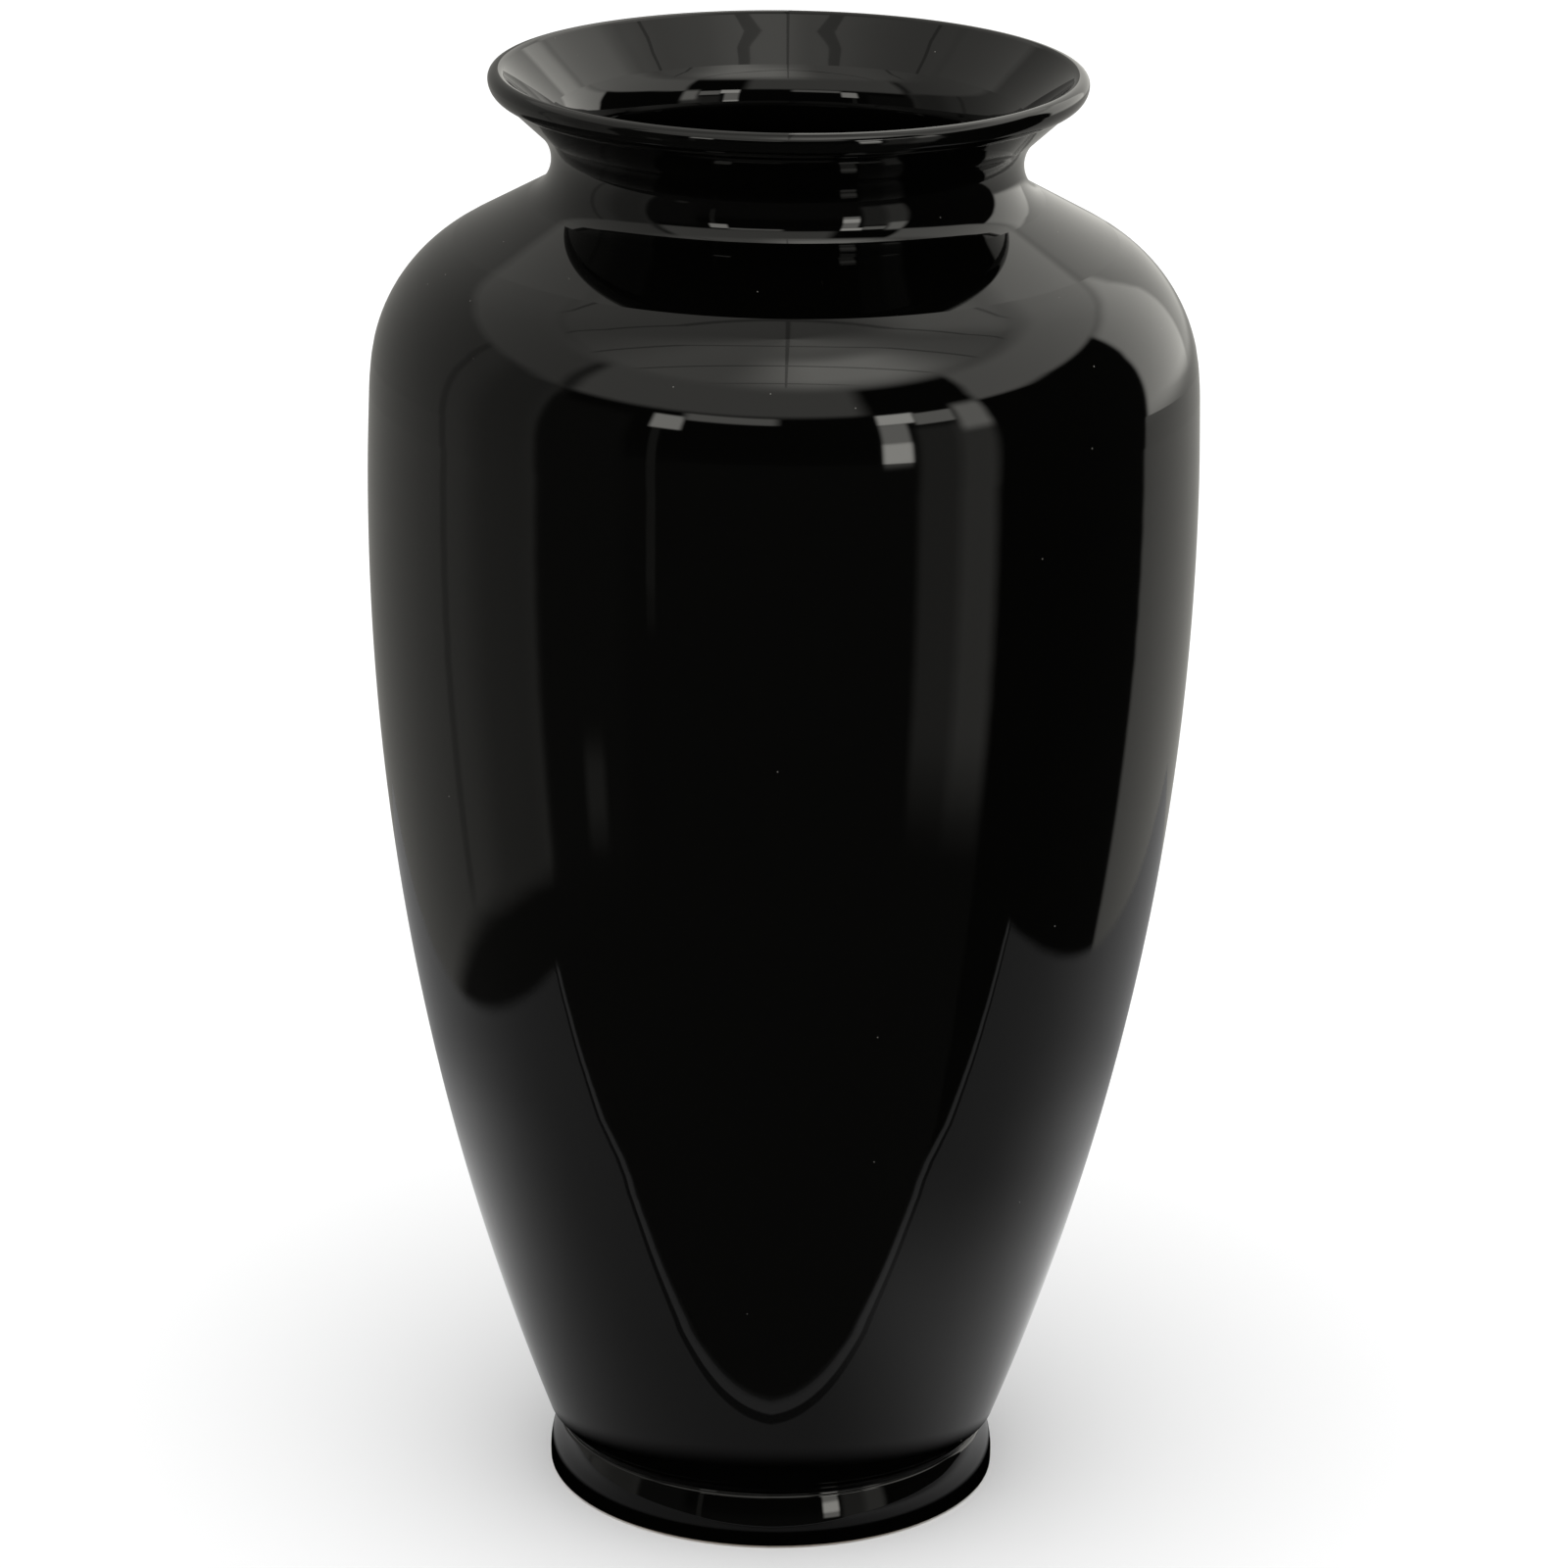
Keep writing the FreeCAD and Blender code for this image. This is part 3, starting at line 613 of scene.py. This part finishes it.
def turned_mesh(name, node, look):
    """The CAD node's own section turned round +Z with fine steps, kept inside the node's box."""
    low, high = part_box(node)
    angles = [2 * math.pi * step / look.steps_round for step in range(look.steps_round)]
    turns = [(math.cos(angle), math.sin(angle)) for angle in angles]
    rows = fine_rows(node, look)
    points, rings = ring_points(rows, turns, low, high)
    faces, directions = ring_faces(rows, rings, turns)
    mesh = bpy.data.meshes.new(name)
    mesh.from_pydata(points, [], faces)
    mesh.polygons.foreach_set("use_smooth", [True] * len(faces))
    mesh.normals_split_custom_set(directions)
    mesh.update()
    return mesh


def turned_piece(name, node, look, material):
    """One piece, turned finely, in place of its CAD node."""
    mesh = turned_mesh(name, node, look)
    coat(mesh, material)
    piece = bpy.data.objects.new(name, mesh)
    bpy.context.scene.collection.objects.link(piece)
    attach(piece, "root")
    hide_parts(node)
    return piece


def turned_glaze(name, node, look, tint):
    """One coat of glaze, turned finely."""
    turned_piece(name, node, look, glaze_material(name, look, tint))


class JAR_OT_clay(bpy.types.Operator):
    """Gives the thrown clay sections their fired clay, and turns the foot ring"""
    bl_idname = "jar.clay"
    bl_label = "Clay sections"

    def execute(self, context):
        look = context.scene.jar_clay
        material = clay_material("bare_clay_fired", look, look.clay_colour)
        ring = turned_piece("jar_foot_ring", "foot_ring", context.scene.jar_glaze, material)
        for name in CLAY_PIECES:
            coat(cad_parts[name].data, material)
        return {"FINISHED"}


class JAR_OT_slip(bpy.types.Operator):
    """Gives the seams their fired slip"""
    bl_idname = "jar.slip"
    bl_label = "Slip seams"

    def execute(self, context):
        look = context.scene.jar_clay
        material = clay_material("seam_slip_fired", look, look.slip_colour)
        for name in SLIP_PIECES:
            coat(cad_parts[name].data, material)
        return {"FINISHED"}


class JAR_OT_outer_glaze(bpy.types.Operator):
    """Turns the black glaze on the outside"""
    bl_idname = "jar.outer_glaze"
    bl_label = "Outer glaze"

    def execute(self, context):
        turned_glaze("jar_outer_glaze", "outer_glaze", context.scene.jar_glaze, 1.0)
        return {"FINISHED"}


class JAR_OT_liner_glaze(bpy.types.Operator):
    """Turns the black glaze on the inside"""
    bl_idname = "jar.liner_glaze"
    bl_label = "Liner glaze"

    def execute(self, context):
        turned_glaze("jar_liner_glaze", "liner_glaze", context.scene.jar_glaze, LINER_TINT)
        return {"FINISHED"}


class JAR_OT_foot_well_glaze(bpy.types.Operator):
    """Turns the black glaze in the recess under the floor"""
    bl_idname = "jar.foot_well_glaze"
    bl_label = "Foot well glaze"

    def execute(self, context):
        turned_glaze("jar_foot_well_glaze", "foot_well_glaze", context.scene.jar_glaze, FOOT_WELL_TINT)
        return {"FINISHED"}


def mirrored_table(paint, settings):
    """1 where the mirrored table is and 0 round it, and how bright the table is there: painted shade in front
    of the jar, painted light behind it, a painted shadow round the foot, a painted glow from the right and a
    painted highlight along its front edge.
    """
    x, y, _ = paint.parts(paint.add("ShaderNodeTexCoord", out=3))
    aside = paint.maths("ABSOLUTE", x)
    from_front = (
        y + settings.table_front + aside * settings.table_slant
        + aside.rise(0.0, settings.bow_width) * settings.table_bow)
    back = settings.table_back
    table = (
        x.within(-settings.table_left, settings.table_right, SIDE_SOFT)
        * from_front.rise(-END_SOFT, END_SOFT) * (1 - y.rise(back - END_SOFT, back + END_SOFT)))
    out = paint.maths("SQRT", x * x + y * y)
    # painted shadow round the foot: the table's colour goes dark inside this ring
    forward = y + settings.shadow_forward
    from_shadow = paint.maths("SQRT", x * x + forward * forward)
    lit = from_shadow.rise(settings.foot_shadow - SHADOW_SOFT, settings.foot_shadow + SHADOW_SOFT)
    # painted shade in front of the jar and painted light behind it
    behind = y.rise(-settings.table_front, settings.table_front * BEHIND_SHARE)
    # painted light from the right
    glow = x.rise(*GLOW_ASIDE) * (1 - out.rise(*GLOW_OUT))
    # painted highlight along the front edge, then painted shade in a dark line behind it
    edge = from_front.within(0, settings.table_edge, LINE_SOFT)
    groove = from_front.within(settings.table_edge, settings.table_edge * GROOVE_END_SHARE, LINE_SOFT)
    # the table's brightness is painted light and shade, not its own colour
    shade, light, far = settings.table_shade, settings.table_light, settings.table_far
    brightness = (
        shade + (light - shade - (light - far) * out.rise(*FAR_OUT)) * behind
        + glow * SIDE_GLOW + edge * EDGE_GLOW - groove * GROOVE_SHADE) * lit
    return table, brightness


def floor_material(settings):
    """Pale floor. The jar mirrors only the part of it that is the table, whose colour there holds painted
    light and shade.
    """
    material, paint = new_material("pale_floor")
    table, brightness = mirrored_table(paint, settings)
    table_top = paint.add("ShaderNodeBsdfPrincipled", {}, {
        "Base Color": paint.between(brightness, BLACK, WHITE), "Roughness": 1.0, "Specular IOR Level": 0.0})
    floor = paint.add("ShaderNodeBsdfPrincipled", {}, {
        "Base Color": opaque(settings.floor_colour), "Roughness": 1.0, "Specular IOR Level": 0.0})
    nothing = paint.add("ShaderNodeBsdfTransparent")
    mirrored = paint.add("ShaderNodeMixShader", {}, {0: table, 1: nothing, 2: table_top})
    paint.finish(paint.add("ShaderNodeMixShader", {}, {0: paint.in_mirror(), 1: floor, 2: mirrored}))
    return material


def ceiling_seams(paint, x, y, z):
    """1 on the seams between the ceiling's tiles and 0 elsewhere."""
    across = paint.maths("MODULO", x / z + TILE_WIDTH * TILES_AWAY, TILE_WIDTH) < TILE_SEAM
    shift = TILE_DEPTH * (TILES_AWAY + TILE_SHIFT)
    along = paint.maths("MODULO", y / z + shift, TILE_DEPTH) < TILE_SEAM * SEAM_STRETCH
    return paint.maths("MAXIMUM", across, along)


def build_world(settings):
    """White to the camera and to the floor, and the room round the jar in what the glaze mirrors."""
    world = bpy.data.worlds.new("jar_room")
    bpy.context.scene.world = world
    paint = Paint(world)
    x, y, z = paint.parts(paint.add("ShaderNodeTexCoord"))
    azimuth = paint.maths("ARCTAN2", x, y * -1) * math.degrees(1)
    elevation = paint.maths("ARCSINE", z) * math.degrees(1)
    room = settings.room_level
    for _, (left, right), (bottom, top), (side_soft, end_soft), level in ROOM:
        cover = azimuth.within(left, right, side_soft) * elevation.within(bottom, top, end_soft)
        room = room * (1 - cover) + level * cover
    room = room * (1 - ceiling_seams(paint, x, y, z) * elevation.rise(*SEAMS_FROM) * SEAM_SHADE)
    plain = paint.add("ShaderNodeBackground", {}, {"Color": WHITE, "Strength": 1.0})
    seen = paint.add("ShaderNodeBackground", {}, {
        "Color": paint.between(room, BLACK, opaque(settings.room_tint)), "Strength": 1.0})
    paint.finish(
        paint.add("ShaderNodeMixShader", {}, {0: paint.in_mirror(), 1: plain, 2: seen}),
        "ShaderNodeOutputWorld")


def new_floor(settings):
    """The pale floor under the jar."""
    half = settings.floor_size / 2
    mesh = bpy.data.meshes.new("floor")
    mesh.from_pydata(
        [(-half, -half, 0), (half, -half, 0), (half, half, 0), (-half, half, 0)], [], [(0, 1, 2, 3)])
    coat(mesh, floor_material(settings))
    return bpy.data.objects.new("floor", mesh)


def new_lamp(settings):
    """The soft lamp, which the glaze doesn't mirror."""
    data = bpy.data.lights.new("soft_lamp", "SUN")
    data.energy = settings.lamp_level
    data.angle = settings.lamp_width
    lamp = bpy.data.objects.new("soft_lamp", data)
    lamp.matrix_world = Matrix.Rotation(LAMP_TILT, 4, "X")
    lamp.visible_glossy = False
    return lamp


def new_camera(settings):
    """The camera, where the photo was taken from."""
    data = bpy.data.cameras.new("camera")
    data.lens = settings.lens
    camera = bpy.data.objects.new("camera", data)
    camera.matrix_world = (
        Matrix.Translation((settings.camera_aside, -settings.camera_back, settings.camera_height))
        @ Matrix.Rotation(math.pi / 2 - settings.camera_pitch, 4, "X")
        @ Matrix.Rotation(settings.camera_roll, 4, "Z"))
    return camera


class JAR_OT_stage(bpy.types.Operator):
    """Sets the floor, the lamp, the mirrored room and the camera"""
    bl_idname = "jar.stage"
    bl_label = "Stage"

    def execute(self, context):
        settings = context.scene.jar_stage
        floor, lamp, camera = new_floor(settings), new_lamp(settings), new_camera(settings)
        for thing in (floor, lamp, camera):
            context.scene.collection.objects.link(thing)
        context.scene.camera = camera
        build_world(settings)
        context.scene.view_settings.view_transform = "Standard"
        return {"FINISHED"}


class JAR_PT_panel(bpy.types.Panel):
    """The jar's operators and settings"""
    bl_label = "Jar"
    bl_idname = "JAR_PT_panel"
    bl_space_type = "VIEW_3D"
    bl_region_type = "UI"
    bl_category = "Jar"

    def draw(self, context):
        for operator in OPERATORS:
            self.layout.operator(operator.bl_idname)
        for group in (context.scene.jar_glaze, context.scene.jar_clay, context.scene.jar_stage):
            box = self.layout.box()
            for name in type(group).__annotations__:
                box.prop(group, name)


OPERATORS = (
    JAR_OT_clay, JAR_OT_slip, JAR_OT_outer_glaze, JAR_OT_liner_glaze, JAR_OT_foot_well_glaze, JAR_OT_stage)
CLASSES = (JarGlazeSettings, JarClaySettings, JarStageSettings, *OPERATORS, JAR_PT_panel)


def register():
    for kind in CLASSES:
        bpy.utils.register_class(kind)
    bpy.types.Scene.jar_glaze = bpy.props.PointerProperty(type=JarGlazeSettings)
    bpy.types.Scene.jar_clay = bpy.props.PointerProperty(type=JarClaySettings)
    bpy.types.Scene.jar_stage = bpy.props.PointerProperty(type=JarStageSettings)


def unregister():
    del bpy.types.Scene.jar_stage
    del bpy.types.Scene.jar_clay
    del bpy.types.Scene.jar_glaze
    for kind in reversed(CLASSES):
        bpy.utils.unregister_class(kind)


def main():
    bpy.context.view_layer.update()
    register()
    bpy.ops.jar.clay()
    bpy.ops.jar.slip()
    bpy.ops.jar.outer_glaze()
    bpy.ops.jar.liner_glaze()
    bpy.ops.jar.foot_well_glaze()
    bpy.ops.jar.stage()


if __name__ == "__main__":
    main()
